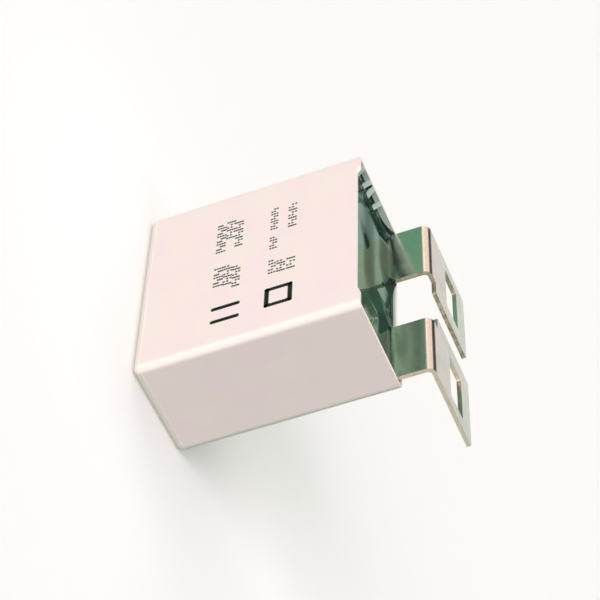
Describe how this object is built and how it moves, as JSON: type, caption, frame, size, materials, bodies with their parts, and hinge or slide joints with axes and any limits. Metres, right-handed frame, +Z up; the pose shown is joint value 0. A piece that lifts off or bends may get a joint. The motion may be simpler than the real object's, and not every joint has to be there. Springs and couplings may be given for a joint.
{
  "type": "box film capacitor",
  "caption": "Potted film capacitor in a rectangular plastic case, with flat bent copper lugs that screw onto a power module through rectangular slots.",
  "frame": {"origin": "middle of the case's closed base, on the surface it stands on", "axes": "+Z up from the base to the potted side and the lugs, +X along the length of the case, +Y from the plain front wall to the back wall, over which the lugs reach"},
  "size_m": [0.0426, 0.037, 0.047],
  "materials": {
    "case_plastic": "moulded cream-white polyester, fine satin",
    "potting_resin": "cast resin, dark green-grey and glossy",
    "metallised_film": "rolled metallised film, silvery",
    "winding_tape": "thin plain tape, clear amber",
    "sprayed_zinc": "flame-sprayed zinc, rough grey",
    "tinned_copper": "tin plate on copper sheet, satin",
    "solder": "flowed tin solder"
  },
  "bodies": {
    "root": {"case": "case_plastic", "potting_resin": "potting_resin", "film_winding": "metallised_film", "winding_wrap": "winding_tape", "end_spray_left": "sprayed_zinc", "end_spray_right": "sprayed_zinc", "lug_left": "tinned_copper", "lug_right": "tinned_copper", "solder_left": "solder", "solder_right": "solder"}
  },
  "joints": []
}
